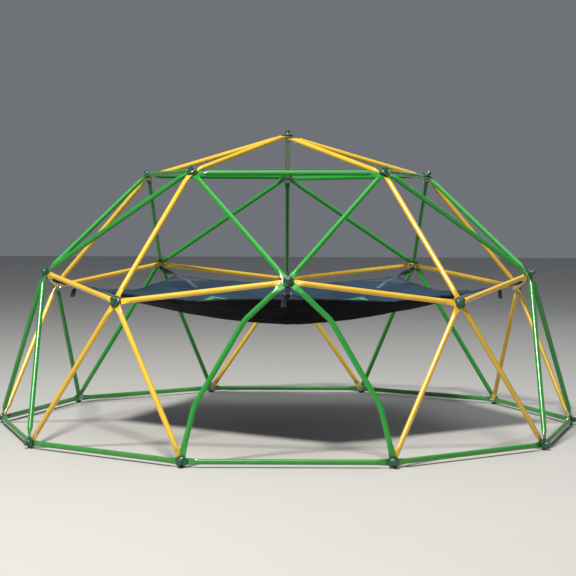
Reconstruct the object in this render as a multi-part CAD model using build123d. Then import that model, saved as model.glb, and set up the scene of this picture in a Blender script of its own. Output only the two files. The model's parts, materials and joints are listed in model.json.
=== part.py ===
"""Dome climber with a hammock: a bolted tube dome, door posts, hub caps and a hung fabric sheet.

Millimetres, +Z up.  The origin is on the ground under the apex, and the door faces -Y.
Azimuths are measured from the door (-Y) towards +X.  Sector 0 holds the door.
"""
from build123d import *
from math import cos, radians, sin, tan
import os

# Dome layout: a two-frequency icosahedral half sphere, standing on its base hubs
DOME_RADIUS = 1500.0
SECTORS = 5
LEFT_REAR_RIB = 3  # its two legs differ in colour, so each is a node
APEX_HEIGHT = 0.9915 * DOME_RADIUS
UPPER_HUB_RADIUS = 0.5263 * DOME_RADIUS
UPPER_HUB_HEIGHT = 0.8556 * DOME_RADIUS
BRACE_HUB_RADIUS = 0.849 * DOME_RADIUS
BRACE_HUB_HEIGHT = 0.5224 * DOME_RADIUS
RIB_HUB_RADIUS = 0.892 * DOME_RADIUS
RIB_HUB_HEIGHT = 0.4535 * DOME_RADIUS

# Tubes and their flattened, drilled ends
TUBE_DIAMETER = 25.0
TUBE_WALL = 1.2
TAB_WIDTH = 30.0
TAB_THICKNESS = 3.0
TAB_PITCH = 3.2
TAB_LENGTH = 36.0
DOOR_TAB_LENGTH = 52.0
FLARE_LENGTH = 35.0
FLARE_CORNER_ANGLE = 30.0
BOLT_HOLE_DIAMETER = 8.6

# Door posts: two legs bowed sideways in the plane of the door
DOOR_UPPER_BEND_HALF_WIDTH = 0.129 * DOME_RADIUS
DOOR_UPPER_BEND_HEIGHT = 0.410 * DOME_RADIUS
DOOR_LOWER_BEND_HALF_WIDTH = 0.275 * DOME_RADIUS
DOOR_LOWER_BEND_HEIGHT = 0.160 * DOME_RADIUS
DOOR_BEND_RADIUS = 150.0

# Hub fasteners (M8) and bell caps
BOLT_DIAMETER = 8.0
BOLT_HEAD_FLATS = 13.0
BOLT_HEAD_HEIGHT = 5.3
BOLT_END_BEYOND_NUT = 3.5
NUT_FLATS = 13.0
NUT_HEIGHT = 7.5
NUT_COLLAR_SHARE = 0.22
NUT_COLLAR_DIAMETER = 11.7
WASHER_DIAMETER = 30.0
WASHER_THICKNESS = 1.6
SEAT_DIAMETER = 52.6
SEAT_RIM_HEIGHT = 5.0
SEAT_BOSS_DIAMETER = 46.0
SEAT_TOP_DIAMETER = 42.0
SEAT_HEIGHT = 8.0
CAP_FLANGE_DIAMETER = 54.6
CAP_CROWN_DIAMETER = 24.0
CAP_HEIGHT = 28.0
CAP_RIM_HEIGHT = 3.0
CAP_NECK_HEIGHT = 16.0
CAP_FLARE_SHARE = 0.30
CAP_FLARE_LEVEL = 0.42
CAP_CROWN_TAPER = 0.8
CAP_CROWN_ROUNDING = 2.5
CAP_WALL = 2.2
BASE_HUB_HEIGHT = CAP_FLANGE_DIAMETER / 2

# Hammock sheet: a five-sided dish, lowest in the middle
SHEET_LOW_HEIGHT = BASE_HUB_HEIGHT + 0.337 * DOME_RADIUS
SHEET_RISE = 0.236 * DOME_RADIUS
SHEET_RISE_POWER = 1.625
SHEET_CORNER_RADIUS = 1100.0
SHEET_EDGE_MIDDLE_RADIUS = 885.0
SHEET_TIP_HALF_WIDTH = 14.0
SHEET_THICKNESS = 3.0
HEM_WIDTH = 26.0
HEM_CORNER_NARROWING = 0.45
HEM_FOLD_THICKNESS = 1.5
PATCH_REACH = 150.0
PATCH_THICKNESS = 5.0
DISH_REACH = 1.04 * SHEET_CORNER_RADIUS
DISH_RIM_SLOPE = 17.8
TAPE_REACH = 722.0
TAPE_WIDTH = 32.0
TAPE_THICKNESS = 1.2

# Corner sleeves, webbing and buckles
WEBBING_WIDTH = 25.0
WEBBING_THICKNESS = 1.8
SLEEVE_DIAMETER = 9.6
SLEEVE_OVERLAP = 1.0
FIT_GAP = 0.3
SEWN_GAP = 0.2
BUCKLE_BAR = 4.0
BUCKLE_BAR_SPACING = 12.0
BUCKLE_CHEEK_THICKNESS = 3.0
BUCKLE_CHEEK_HEIGHT = 9.0
BUCKLE_CHEEK_LENGTH = 31.0
BUCKLE_CHEEK_ROUNDING = 3.0
BUCKLE_INNER_WIDTH = 2 * SHEET_TIP_HALF_WIDTH + 1.6
STRAP_DROP_AT_HUB = 24.0
STRAP_RISE_ABOVE_BOLT = 14.0
STRAP_LEVEL_BEYOND_BUCKLE = 30.0
STRAP_END_BEYOND_BAR = 4.0
STRAP_END_DROP = 4.5
TAIL_LENGTH = 52.0
TAIL_HEM = 9.0

HUB_CENTRE_OF_DOME = Vector(0, 0, BASE_HUB_HEIGHT)


def at_azimuth(azimuth, radius, height):
    """Point at an azimuth from the door, a distance from the axis and a height above the base hubs."""
    angle = radians(azimuth)
    return Vector(radius * sin(angle), -radius * cos(angle), BASE_HUB_HEIGHT + height)


class Hub:
    """A bolted joint: its centre, its bolt's outward direction and the tabs stacked on it."""

    def __init__(self, centre, outward):
        self.centre = centre
        self.outward = outward
        self.tabs = 0
        self.strap_thickness = 0.0

    def take_layer(self):
        """Reserve the next tab layer, counted from the inside of the dome."""
        self.tabs += 1
        return self.tabs - 1

    def layer_offset(self, layer):
        return (layer - (self.tabs - 1) / 2) * TAB_PITCH

    def outer_face(self):
        return self.layer_offset(self.tabs - 1) + TAB_THICKNESS / 2

    def inner_face(self):
        """Inside face of the stack, with the strap end that lies on it."""
        return self.layer_offset(0) - TAB_THICKNESS / 2 - self.strap_thickness

    def plane(self, offset):
        """Plane across the bolt, offset outward from the hub's centre."""
        sideways = Vector(0, 0, 1).cross(self.outward)
        if sideways.length < 1e-6:
            sideways = Vector(1, 0, 0)
        return Plane(self.centre + self.outward * offset, x_dir=sideways, z_dir=self.outward)


def sphere_hub(azimuth, radius, height):
    centre = at_azimuth(azimuth, radius, height)
    return Hub(centre, (centre - HUB_CENTRE_OF_DOME).normalized())


apex_hub = sphere_hub(0, 0, APEX_HEIGHT)
upper_hubs = [sphere_hub(36 + 72 * k, UPPER_HUB_RADIUS, UPPER_HUB_HEIGHT) for k in range(SECTORS)]
brace_hubs = [sphere_hub(72 * k, BRACE_HUB_RADIUS, BRACE_HUB_HEIGHT) for k in range(SECTORS)]
rib_hubs = [sphere_hub(36 + 72 * k, RIB_HUB_RADIUS, RIB_HUB_HEIGHT) for k in range(SECTORS)]
base_hubs = [sphere_hub(18 + 36 * j, DOME_RADIUS, 0) for j in range(2 * SECTORS)]
middle_hubs = brace_hubs + rib_hubs
all_hubs = [apex_hub] + upper_hubs + middle_hubs + base_hubs


# ---------------------------------------------------------------- tubes

class Tube:
    """One tube between two hubs; bends lists the points that it is bent towards on its way."""

    def __init__(self, start, finish, bends=(), tab_length=TAB_LENGTH):
        self.hubs = (start, finish)
        self.layers = (start.take_layer(), finish.take_layer())
        self.bends = list(bends)
        self.tab_length = tab_length


def round_section(centre, sideways, direction, radius):
    """Circle drawn as four arcs, so that it pairs up with the four edges of a flat section."""
    wide = radius * cos(radians(FLARE_CORNER_ANGLE))
    high = radius * sin(radians(FLARE_CORNER_ANGLE))
    arcs = [
        ThreePointArc((wide, -high), (radius, 0), (wide, high)),
        ThreePointArc((wide, high), (0, radius), (-wide, high)),
        ThreePointArc((-wide, high), (-radius, 0), (-wide, -high)),
        ThreePointArc((-wide, -high), (0, -radius), (wide, -high)),
    ]
    return Plane(centre, x_dir=sideways, z_dir=direction) * make_face(arcs)


def flat_end(hub, layer, toward, tab_length):
    """Drilled tab on the hub; returns it with its end point, direction and sideways direction."""
    bolt_point = hub.centre + hub.outward * hub.layer_offset(layer)
    along = toward - bolt_point
    along = (along - hub.outward * along.dot(hub.outward)).normalized()
    outline = Circle(TAB_WIDTH / 2) + Pos(tab_length / 2, 0) * Rectangle(tab_length, TAB_WIDTH)
    outline -= Circle(BOLT_HOLE_DIAMETER / 2)
    tab_plane = Plane(bolt_point, x_dir=along, z_dir=hub.outward)
    tab = extrude(tab_plane * outline, amount=TAB_THICKNESS / 2, both=True)
    return tab, bolt_point + along * tab_length, along, hub.outward.cross(along)


def flare(tab_end, along, sideways, round_start, direction):
    """Ruled transition from the flat tab to the round tube."""
    flat = Plane(tab_end, x_dir=sideways, z_dir=along) * Rectangle(TAB_WIDTH, TAB_THICKNESS)
    return loft([flat, round_section(round_start, sideways, direction, TUBE_DIAMETER / 2)], ruled=True)


def make_tube(tube):
    """Hollow round tube whose two ends are pressed flat and drilled."""
    start, finish = tube.hubs
    first_target = tube.bends[0] if tube.bends else finish.centre
    last_target = tube.bends[-1] if tube.bends else start.centre
    tab_a, end_a, along_a, side_a = flat_end(start, tube.layers[0], first_target, tube.tab_length)
    tab_b, end_b, along_b, side_b = flat_end(finish, tube.layers[1], last_target, tube.tab_length)
    route = [end_a] + tube.bends + [end_b]
    leave_a = (route[1] - route[0]).normalized()
    leave_b = (route[-2] - route[-1]).normalized()
    route[0] = end_a + leave_a * FLARE_LENGTH
    route[-1] = end_b + leave_b * FLARE_LENGTH
    path = FilletPolyline(*route, radius=DOOR_BEND_RADIUS) if tube.bends else Line(*route)
    outside = sweep(round_section(route[0], side_a, leave_a, TUBE_DIAMETER / 2), path=path)
    bore = sweep(round_section(route[0], side_a, leave_a, TUBE_DIAMETER / 2 - TUBE_WALL), path=path)
    flare_a = flare(end_a, along_a, side_a, route[0], leave_a)
    flare_b = flare(end_b, along_b, side_b, route[-1], leave_b)
    return (outside + flare_a + flare_b + tab_a + tab_b) - bore


def door_bends(side):
    """Bend points of one door post: side is -1 for the left post and +1 for the right."""
    top_hub = brace_hubs[0].centre
    sill_y = base_hubs[0].centre.Y
    slope = (top_hub.Y - sill_y) / BRACE_HUB_HEIGHT

    def in_door_plane(half_width, height):
        return Vector(side * half_width, sill_y + slope * height, BASE_HUB_HEIGHT + height)

    return [
        in_door_plane(DOOR_UPPER_BEND_HALF_WIDTH, DOOR_UPPER_BEND_HEIGHT),
        in_door_plane(DOOR_LOWER_BEND_HALF_WIDTH, DOOR_LOWER_BEND_HEIGHT),
    ]


def door_post(side):
    foot = base_hubs[0] if side > 0 else base_hubs[-1]
    return Tube(brace_hubs[0], foot, door_bends(side), DOOR_TAB_LENGTH)


def lay_out_tubes():
    """Every tube, by node name.  The order sets the order of the tabs on each hub, inside first."""
    nodes = {}
    for k in range(SECTORS):
        nodes[f"middle_ring_tubes_{k}"] = [
            Tube(brace_hubs[k], rib_hubs[k - 1]),
            Tube(brace_hubs[k], rib_hubs[k]),
        ]
    for k in range(SECTORS):
        legs = [Tube(rib_hubs[k], base_hubs[2 * k]), Tube(rib_hubs[k], base_hubs[2 * k + 1])]
        if k == LEFT_REAR_RIB:
            nodes[f"rib_leg_{k}_rear"] = legs[:1]
            nodes[f"rib_leg_{k}_front"] = legs[1:]
        else:
            nodes[f"rib_legs_{k}"] = legs
    for k in range(SECTORS):
        nodes[f"base_rails_{k}"] = [
            Tube(base_hubs[2 * k - 1], base_hubs[2 * k]),
            Tube(base_hubs[2 * k], base_hubs[2 * k + 1]),
        ]
    for k in range(SECTORS):
        nodes[f"apex_tube_{k}"] = [Tube(apex_hub, upper_hubs[k])]
        nodes[f"upper_ring_tube_{k}"] = [Tube(upper_hubs[k - 1], upper_hubs[k])]
        nodes[f"upper_rib_{k}"] = [Tube(upper_hubs[k], rib_hubs[k])]
        nodes[f"upper_braces_{k}"] = [
            Tube(brace_hubs[k], upper_hubs[k - 1]),
            Tube(brace_hubs[k], upper_hubs[k]),
        ]
    nodes["door_post_left"] = [door_post(-1)]
    nodes["door_post_right"] = [door_post(1)]
    for k in range(1, SECTORS):
        nodes[f"brace_legs_{k}"] = [
            Tube(brace_hubs[k], base_hubs[2 * k - 1]),
            Tube(brace_hubs[k], base_hubs[2 * k]),
        ]
    return nodes


# ---------------------------------------------------------------- hub fasteners and caps

def seat_washer():
    """Dark plastic seat under the bolt's head: a rim that carries the cap and a boss that centres it."""
    profile = Polyline(
        (BOLT_DIAMETER / 2, 0),
        (SEAT_DIAMETER / 2, 0),
        (SEAT_DIAMETER / 2, SEAT_RIM_HEIGHT),
        (SEAT_BOSS_DIAMETER / 2, SEAT_RIM_HEIGHT),
        (SEAT_TOP_DIAMETER / 2, SEAT_HEIGHT),
        (BOLT_DIAMETER / 2, SEAT_HEIGHT),
        close=True,
    )
    return revolve(make_face(Plane.XZ * profile), Axis.Z)


def bell_curve(inset):
    """Half section of the cap's outside, moved inward by inset: rim, hollow flare and flat-topped crown."""
    rim = CAP_FLANGE_DIAMETER / 2 - inset
    crown = CAP_CROWN_DIAMETER / 2 - inset
    top = CAP_HEIGHT - inset
    neck = CAP_NECK_HEIGHT
    flare_middle = (crown + (rim - crown) * CAP_FLARE_SHARE, (CAP_RIM_HEIGHT + neck) * CAP_FLARE_LEVEL)
    round_over = CAP_CROWN_ROUNDING
    cut_off = round_over * (1 - cos(radians(45)))
    corner = (crown - cut_off, top - cut_off)
    return [
        Line((rim, 0), (rim, CAP_RIM_HEIGHT)),
        ThreePointArc((rim, CAP_RIM_HEIGHT), flare_middle, (crown + CAP_CROWN_TAPER, neck)),
        Line((crown + CAP_CROWN_TAPER, neck), (crown, top - round_over)),
        ThreePointArc((crown, top - round_over), corner, (crown - round_over, top)),
        Line((crown - round_over, top), (0, top)),
    ]


def bell_cap():
    """Thin plastic bell with its open side on z = 0."""
    outside = bell_curve(0)
    inside = bell_curve(CAP_WALL)
    rim = Line(inside[0] @ 0, outside[0] @ 0)
    crown = Line(outside[-1] @ 1, inside[-1] @ 1)
    return revolve(make_face(Plane.XZ * Wire(outside + inside + [rim, crown])), Axis.Z)


def hexagon_prism(flats, height):
    return extrude(RegularPolygon(flats / 2, 6, major_radius=False), amount=height)


def hub_bolt(hub):
    """Hexagon bolt whose head stands on the seat washer and whose end shows past the nut."""
    head_foot = hub.outer_face() + SEAT_HEIGHT
    tail = hub.inner_face() - WASHER_THICKNESS - NUT_HEIGHT - BOLT_END_BEYOND_NUT
    head = Pos(0, 0, head_foot) * hexagon_prism(BOLT_HEAD_FLATS, BOLT_HEAD_HEIGHT)
    shank = Pos(0, 0, tail) * extrude(Circle(BOLT_DIAMETER / 2), amount=head_foot - tail)
    return hub.plane(0).location * (head + shank)


def hub_nut(hub):
    """Lock nut: a hexagon with a rounded collar on its inner side."""
    collar_height = NUT_HEIGHT * NUT_COLLAR_SHARE
    hexagon = Pos(0, 0, collar_height) * hexagon_prism(NUT_FLATS, NUT_HEIGHT - collar_height)
    collar = extrude(Circle(NUT_COLLAR_DIAMETER / 2), amount=collar_height)
    bore = extrude(Circle(BOLT_DIAMETER / 2), amount=NUT_HEIGHT)
    return hub.plane(hub.inner_face() - WASHER_THICKNESS - NUT_HEIGHT).location * (hexagon + collar - bore)


def hub_washer(hub):
    ring = Circle(WASHER_DIAMETER / 2) - Circle(BOLT_DIAMETER / 2)
    return hub.plane(hub.inner_face() - WASHER_THICKNESS).location * extrude(ring, amount=WASHER_THICKNESS)


def on_outer_face(hub, shape, lift=0.0):
    return hub.plane(hub.outer_face() + lift).location * shape


# ---------------------------------------------------------------- hammock

def sheet_height(radius):
    """Height of the sheet's middle surface at a distance from the dome's axis."""
    return SHEET_LOW_HEIGHT + SHEET_RISE * (radius / DOME_RADIUS) ** SHEET_RISE_POWER


def dish(thickness, lift=0.0):
    """Round dish of the sheet's sag, wider than the sheet, with a level layer of the given thickness."""
    steps = 8
    radii = [DISH_REACH * step / steps for step in range(steps + 1)]

    def sag_line(offset):
        return Spline(
            *[(radius, sheet_height(radius) + offset) for radius in radii],
            tangents=[(1, 0), (1, tan(radians(DISH_RIM_SLOPE)))],
        )

    low = sag_line(lift - thickness / 2)
    high = sag_line(lift + thickness / 2)
    section = make_face(Plane.XZ * Wire([low, Line(low @ 1, high @ 1), high, Line(high @ 0, low @ 0)]))
    return revolve(section, Axis.Z)


def sheet_outline(inset):
    """Plan of the sheet moved inward by inset: narrow blunt corners joined by slightly hollow edges."""
    half_width = SHEET_TIP_HALF_WIDTH - inset * HEM_CORNER_NARROWING

    def tip(angle, side):
        reach = Vector(cos(angle), sin(angle)) * SHEET_CORNER_RADIUS
        return reach + Vector(-sin(angle), cos(angle)) * side * half_width

    edges = []
    for k in range(SECTORS):
        here = radians(72 * k - 90)
        ahead = radians(72 * (k + 1) - 90)
        middle = radians(72 * k + 36 - 90)
        edge_middle = Vector(cos(middle), sin(middle)) * (SHEET_EDGE_MIDDLE_RADIUS - inset)
        edges.append(Line(tip(here, -1), tip(here, 1)))
        edges.append(ThreePointArc(tip(here, 1), edge_middle, tip(ahead, -1)))
    return make_face(edges)


def prism(plan):
    """Upright prism over a plan, tall enough to cut the whole dish."""
    margin = 100.0
    return extrude(Pos(0, 0, SHEET_LOW_HEIGHT - margin) * plan, amount=SHEET_RISE + 2 * margin)


def around(shape):
    """Five copies of what is made at the door's azimuth, one for each sector."""
    return [Rot(0, 0, 72 * k) * shape for k in range(SECTORS)]


def corner_zone():
    """Rounded plan of one corner's doubled patch."""
    return Pos(0, -SHEET_CORNER_RADIUS) * Circle(PATCH_REACH)


def pentagon(circumradius):
    """Plan with its corners in line with the sheet's corners."""
    angles = [radians(72 * k - 90) for k in range(SECTORS)]
    return make_face(Polyline(*[(circumradius * cos(a), circumradius * sin(a)) for a in angles], close=True))


def sheet_tape():
    """Tape sewn on the sheet's upper side, as a smaller pentagon parallel to its edges."""
    inner_reach = TAPE_REACH - TAPE_WIDTH / cos(radians(36))
    lift = SHEET_THICKNESS / 2 + SEWN_GAP + TAPE_THICKNESS / 2
    return dish(TAPE_THICKNESS, lift) & prism(pentagon(TAPE_REACH) - pentagon(inner_reach))


def hammock_pieces():
    """Sheet, the hem folded under each of its edges, and the doubled corner patches that it runs into."""
    whole = sheet_outline(0)
    corners = Sketch() + around(corner_zone())
    drop = SHEET_THICKNESS / 2 + SEWN_GAP + HEM_FOLD_THICKNESS / 2
    sheet = dish(SHEET_THICKNESS) & prism(whole - corners)
    hem = dish(HEM_FOLD_THICKNESS, -drop) & prism(whole - sheet_outline(HEM_WIDTH) - corners)
    patches = dish(PATCH_THICKNESS) & prism(whole & corners)
    return sheet, hem.solids(), patches.solids()


# ---------------------------------------------------------------- straps and buckles
# All are made at the door's azimuth, in an upright plane: u runs from the dome's axis to the door, v up.

STRAP_PLANE = Plane(origin=(0, 0, 0), x_dir=(0, -1, 0), z_dir=(-1, 0, 0))

door_hub = brace_hubs[0]
hub_spot = Vector(BRACE_HUB_RADIUS, BASE_HUB_HEIGHT + BRACE_HUB_HEIGHT)
hub_outward = Vector(BRACE_HUB_RADIUS, BRACE_HUB_HEIGHT).normalized()
hub_down = Vector(hub_outward.Y, -hub_outward.X)

buckle_foot = Vector(SHEET_CORNER_RADIUS + SLEEVE_DIAMETER / 2 - SLEEVE_OVERLAP, sheet_height(SHEET_CORNER_RADIUS))


def strap_layer_centre():
    """Centre of the strap end that lies on the inside of the door hub's stack of tabs."""
    return hub_spot + hub_outward * (door_hub.layer_offset(0) - TAB_THICKNESS / 2 - WEBBING_THICKNESS / 2)


def strap_frame():
    """Buckle's middle bar, the direction from it to the hub, and the direction up from the strap."""
    turn = strap_layer_centre() + hub_down * STRAP_DROP_AT_HUB
    along = (turn - buckle_foot).normalized()
    return buckle_foot + along * BUCKLE_BAR_SPACING, along, Vector(-along.Y, along.X)


def in_strap_plane(sketch, width):
    """Sketch drawn in u and v, thickened evenly to both sides."""
    return extrude(STRAP_PLANE * sketch, amount=width / 2, both=True)


def bar_across(spot, diameter, width):
    return in_strap_plane(Pos(spot.X, spot.Y) * Circle(diameter / 2), width)


def wrap_distance():
    """Distance from a bar's centre to the middle of webbing that is wrapped on it."""
    return BUCKLE_BAR / 2 + FIT_GAP + WEBBING_THICKNESS / 2


def strap_end():
    """Where the strap, after its turn round the middle bar, points down outside the outer bar."""
    middle, along, up = strap_frame()
    corner = middle + along * (BUCKLE_BAR_SPACING + STRAP_END_BEYOND_BAR) - up * wrap_distance()
    return corner, corner - Vector(0, STRAP_END_DROP)


def hanging_strap():
    """Webbing bolted under the hub's washer, led over the outer bar and round the buckle's middle bar."""
    middle, along, up = strap_frame()
    wrap = wrap_distance()
    level_start = BUCKLE_BAR_SPACING + STRAP_LEVEL_BEYOND_BUCKLE
    route = [
        strap_layer_centre() - hub_down * STRAP_RISE_ABOVE_BOLT,
        strap_layer_centre() + hub_down * STRAP_DROP_AT_HUB,
        middle + along * level_start + up * wrap,
        middle - along * wrap + up * wrap,
        middle - along * wrap - up * wrap,
        *strap_end(),
    ]
    path = FilletPolyline(*[(spot.X, spot.Y) for spot in route], radius=0.97 * wrap)
    strap = in_strap_plane(trace(path, WEBBING_THICKNESS), WEBBING_WIDTH)
    bolt_hole = door_hub.plane(0).location * Cylinder(BOLT_DIAMETER / 2 + FIT_GAP, 2 * STRAP_DROP_AT_HUB)
    return strap - bolt_hole


def strap_buckle():
    """Three-bar buckle: two cheeks beside the webbing and three bars across it."""
    middle, along, up = strap_frame()
    tilt = Plane((middle.X, middle.Y), x_dir=(along.X, along.Y), z_dir=(0, 0, 1)).location
    outline = RectangleRounded(BUCKLE_CHEEK_LENGTH, BUCKLE_CHEEK_HEIGHT, BUCKLE_CHEEK_ROUNDING)
    middle_space = Rectangle(2 * BUCKLE_CHEEK_LENGTH, 2 * BUCKLE_CHEEK_HEIGHT)
    cheeks = in_strap_plane(tilt * outline, BUCKLE_INNER_WIDTH + 2 * BUCKLE_CHEEK_THICKNESS)
    cheeks -= in_strap_plane(tilt * middle_space, BUCKLE_INNER_WIDTH)
    bars = [
        bar_across(middle + along * BUCKLE_BAR_SPACING * step, BUCKLE_BAR,
                   BUCKLE_INNER_WIDTH + BUCKLE_CHEEK_THICKNESS)
        for step in (-1, 0, 1)
    ]
    return cheeks + bars


def tail_pivot():
    """Where the loose tail starts, just under the strap's end."""
    corner, end = strap_end()
    return end - Vector(0, 2 * FIT_GAP + WEBBING_THICKNESS / 2)


def strap_tail():
    """Loose end of the webbing, hanging from the buckle, with a folded hem at its lower end."""
    pivot = tail_pivot()
    strip = Pos(pivot.X, pivot.Y - TAIL_LENGTH / 2) * Rectangle(WEBBING_THICKNESS, TAIL_LENGTH)
    round_top = Pos(pivot.X, pivot.Y) * Circle(WEBBING_THICKNESS / 2)
    fold_outline = RectangleRounded(2 * WEBBING_THICKNESS, TAIL_HEM, 0.6 * WEBBING_THICKNESS)
    fold = Pos(pivot.X, pivot.Y - TAIL_LENGTH + TAIL_HEM / 2) * fold_outline
    return in_strap_plane(strip + round_top + fold, WEBBING_WIDTH)


def patch_with_sleeve(patch):
    """Corner patch with a sleeve at its tip, bored for the buckle's inner bar."""
    sleeve = bar_across(buckle_foot, SLEEVE_DIAMETER, 2 * SHEET_TIP_HALF_WIDTH)
    bore = bar_across(buckle_foot, BUCKLE_BAR + 2 * FIT_GAP, 4 * SHEET_TIP_HALF_WIDTH)
    return (patch + sleeve) - bore


# ---------------------------------------------------------------- assembly

def solids_of(shapes):
    """Flat list of the separate solids in some shapes."""
    return [solid for shape in shapes for solid in shape.solids()]


def write_node(name, shapes):
    solids = solids_of(shapes)
    export_step(Compound(solids) if len(solids) > 1 else solids[0], f"parts/{name}.step")
    print(f"{name}: {len(solids)} solid(s), {sum(solid.volume for solid in solids) / 1000:.1f} cm3")


def main():
    os.makedirs("parts", exist_ok=True)
    tubes = lay_out_tubes()
    for hub in brace_hubs:
        hub.strap_thickness = WEBBING_THICKNESS

    for name, members in tubes.items():
        write_node(name, [make_tube(tube) for tube in members])

    seat = seat_washer()
    cap = bell_cap()
    raised_hubs = [apex_hub] + upper_hubs + middle_hubs
    write_node("hub_caps", [on_outer_face(hub, cap, SEAT_RIM_HEIGHT) for hub in raised_hubs])
    write_node("base_hub_caps", [on_outer_face(hub, cap, SEAT_RIM_HEIGHT) for hub in base_hubs])
    write_node("cap_seats", [on_outer_face(hub, seat) for hub in all_hubs])
    write_node("hub_bolts", [hub_bolt(hub) for hub in all_hubs])
    write_node("hub_washers", [hub_washer(hub) for hub in all_hubs])
    write_node("hub_nuts", [hub_nut(hub) for hub in all_hubs])

    sheet, hem, patches = hammock_pieces()
    door_patch = min(patches, key=lambda solid: solid.center().Y)
    write_node("hammock_sheet", [sheet])
    write_node("hammock_hem", hem)
    write_node("hammock_corner_patches", around(patch_with_sleeve(door_patch)))
    write_node("hammock_tape", [sheet_tape()])
    write_node("hanging_straps", around(hanging_strap()))
    write_node("strap_buckles", around(strap_buckle()))
    for k, tail in enumerate(around(strap_tail())):
        write_node(f"strap_tail_{k}", [tail])

    pivot = tail_pivot()
    print(f"tail pivot at radius {pivot.X:.2f}, height {pivot.Y:.2f}")


main()
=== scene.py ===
"""Looks of the dome climber: finishes for its bolted frame, and its hammock and straps as soft goods.

Metres, +Z up, the door faces -Y.  Sector 0 holds the door; sectors follow each other towards +X.
"""

import json
import math

import bpy
import numpy as np
from mathutils import Matrix, Vector


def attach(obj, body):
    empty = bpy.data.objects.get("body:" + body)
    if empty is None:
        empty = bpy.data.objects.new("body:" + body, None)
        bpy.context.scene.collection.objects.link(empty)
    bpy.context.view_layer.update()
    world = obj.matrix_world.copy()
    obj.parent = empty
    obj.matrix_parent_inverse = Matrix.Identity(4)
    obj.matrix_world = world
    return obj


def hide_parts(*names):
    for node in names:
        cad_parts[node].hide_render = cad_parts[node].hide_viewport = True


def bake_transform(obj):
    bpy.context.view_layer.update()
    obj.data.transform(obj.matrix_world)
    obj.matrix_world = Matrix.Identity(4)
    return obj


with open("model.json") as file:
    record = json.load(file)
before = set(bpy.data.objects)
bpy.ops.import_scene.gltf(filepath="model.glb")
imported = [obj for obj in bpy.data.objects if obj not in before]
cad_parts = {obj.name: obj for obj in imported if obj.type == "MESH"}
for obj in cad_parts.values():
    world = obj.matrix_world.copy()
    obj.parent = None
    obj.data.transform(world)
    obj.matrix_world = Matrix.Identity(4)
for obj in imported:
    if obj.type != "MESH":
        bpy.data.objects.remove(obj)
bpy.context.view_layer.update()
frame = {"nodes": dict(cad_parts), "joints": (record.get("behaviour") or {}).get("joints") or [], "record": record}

SECTORS = 5
SECTOR_TURN = 2 * math.pi / SECTORS

# Hammock, as it hangs in the frame
CORNER_RADIUS = 1.100
SHEET_LOW = 0.5328
SHEET_RISE = 0.2139
SHEET_THICKNESS = 0.0014
SHEET_TIP_HALF_WIDTH = 0.014
EDGE_MIDDLE_SHARE = 0.8045
SAG_POWER = 1.625
RIM_BULGE = 0.089
RIM_BULGE_START = 0.75
HEM_WIDTH = 0.027
HEM_HALF_THICKNESS = 0.0022
PATCH_REACH = 0.150
PATCH_FLARE = math.tan(math.radians(54))
PATCH_CURVE = 0.028
PATCH_CLOTH_THICKNESS = 0.0010
PATCH_LIFT = 0.0014
TAPE_WIDTH = 0.032
TAPE_REACH = 0.715
TAPE_THICKNESS = 0.0012
TAPE_LIFT = 0.0016
STRIP_WIDTH = 0.042
STRIP_LENGTH = 0.215
STRIP_LIFT_ON_PATCH = 0.0027

# The cut of the sheet, before it is hung, against its size as it hangs
CUT_SCALE = 1.024
CUT_TIP_HALF_WIDTH = 0.050
THREADS_PER_METRE = 900.0

# Webbing, and the hub and buckle that it runs on
WEBBING_WIDTH = 0.025
WEBBING_THICKNESS = 0.0018
STITCH_LIFT = WEBBING_THICKNESS / 2 + 0.0002
ROW_SPACING = 0.006
DOME_RADIUS = 1.500
BASE_HUB_HEIGHT = 0.0273
BRACE_HUB_REACH = 0.849
BRACE_HUB_RISE = 0.5224
STRAP_LAYER_DEPTH = 0.0104
STRAP_DROP = 0.024
STRAP_RISE = 0.014
BAR_WRAP = 0.0032
BUCKLE_BAR_SPACING = 0.012
SLEEVE_DIAMETER = 0.0096
TAIL_LENGTH = 0.052
TAIL_HEM = 0.009
FOLD_OFFSET = 0.0021

# Turn of each strap on edge, its side by sector, and the distances over which it turns
STRAP_TWIST = math.radians(86)
STRAP_TURNS = (1, 1, -1, 1, -1)
TWIST_FROM_HUB = (0.018, 0.062)
TWIST_FROM_BUCKLE = (0.014, 0.060)

# Each tail's twist in degrees, and its lean sideways and outward at the lower end
TAIL_POSES = ((8, -0.019, 0.0), (40, 0.003, 0.004), (-25, -0.005, 0.001), (30, 0.006, 0.0),
              (78, -0.003, 0.014))

# Camera
CAMERA_PLACE = (-0.017, -8.278, 1.1323)
CAMERA_PITCH_DOWN = 2.831
CAMERA_YAW = -0.144
CAMERA_ROLL = 0.23
CAMERA_LENS = 97.8
CAMERA_SENSOR = 36.0


# ------------------------------------------------------------------ node helpers

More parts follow.
